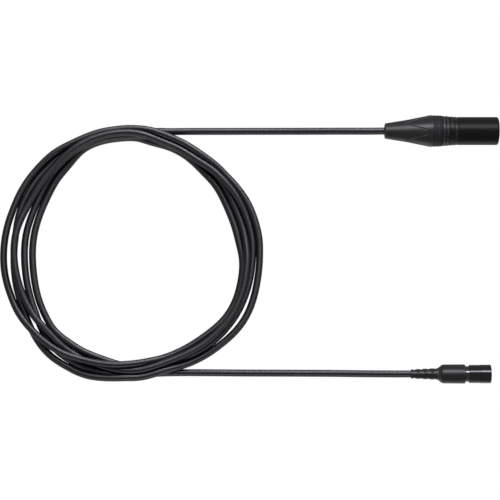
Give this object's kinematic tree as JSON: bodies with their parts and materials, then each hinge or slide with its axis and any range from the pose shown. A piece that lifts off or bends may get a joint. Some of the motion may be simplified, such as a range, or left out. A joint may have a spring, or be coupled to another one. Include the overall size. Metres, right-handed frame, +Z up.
{
  "type": "xlr cable coil",
  "caption": "Coiled black audio cable with a male XLR connector on one end and a small round push-pull connector on the other.",
  "frame": {"origin": "on the surface that everything lies on, under the middle of the box around the two connectors", "axes": "+Z up; +X the way both connectors point; +Y from the small connector towards the XLR connector"},
  "size_m": [0.3436, 0.1878, 0.0216],
  "materials": {
    "jacket_black": "satin extruded jacket",
    "shell_black": "glossy black plated metal",
    "insert_black": "moulded, satin",
    "spring_steel": "plain",
    "chuck_grey": "moulded, matte",
    "bushing_grey": "moulded, satin",
    "boot_rubber": "soft, matte",
    "ring_grey": "moulded, satin",
    "braid_copper": "braided copper wire",
    "mould_black": "moulded over the cable, fine matte",
    "barrel_dark": "glossy dark plated metal",
    "sleeve_black": "glossy black plated metal",
    "contact_gold": "gold plated",
    "core_red": "extruded insulation",
    "core_blue": "extruded insulation",
    "core_yellow": "extruded insulation",
    "core_green": "extruded insulation",
    "core_white": "extruded insulation"
  },
  "bodies": {
    "cable": {"cable_coil": "jacket_black", "lead_xlr": "jacket_black", "lead_mini": "jacket_black", "xlr_cable_end": "jacket_black", "mini_cable_end": "jacket_black", "xlr_shell": "shell_black", "xlr_insert": "insert_black", "xlr_ground_tab": "spring_steel", "xlr_chuck": "chuck_grey", "xlr_bushing": "bushing_grey", "xlr_boot": "boot_rubber", "xlr_coding_ring": "ring_grey", "xlr_shield": "braid_copper", "mini_shield": "braid_copper", "mini_boot": "mould_black", "mini_barrel": "barrel_dark", "mini_ferrule": "spring_steel", "mini_spring": "spring_steel", "mini_snap_ring": "spring_steel", "mini_latch": "spring_steel", "mini_insert": "insert_black", "xlr_pin_1": "contact_gold", "mini_socket_1": "contact_gold", "xlr_pin_2": "contact_gold", "mini_socket_2": "contact_gold", "xlr_pin_3": "contact_gold", "mini_socket_3": "contact_gold", "xlr_pin_4": "contact_gold", "mini_socket_4": "contact_gold", "xlr_pin_5": "contact_gold", "mini_socket_5": "contact_gold", "xlr_wire_red": "core_red", "mini_wire_red": "core_red", "xlr_wire_blue": "core_blue", "mini_wire_blue": "core_blue", "xlr_wire_yellow": "core_yellow", "mini_wire_yellow": "core_yellow", "xlr_wire_green": "core_green", "mini_wire_green": "core_green", "xlr_wire_white": "core_white", "mini_wire_white": "core_white"},
    "release_sleeve": {"mini_sleeve": "sleeve_black"}
  },
  "joints": [
    {"name": "sleeve_release", "type": "slide", "parent": "cable", "child": "release_sleeve", "axis": [-1, 0, 0], "range_m": [0, 0.002], "stiffness_N_per_m": 1500, "springref_m": -0.002, "deforming": ["mini_spring"]}
  ]
}
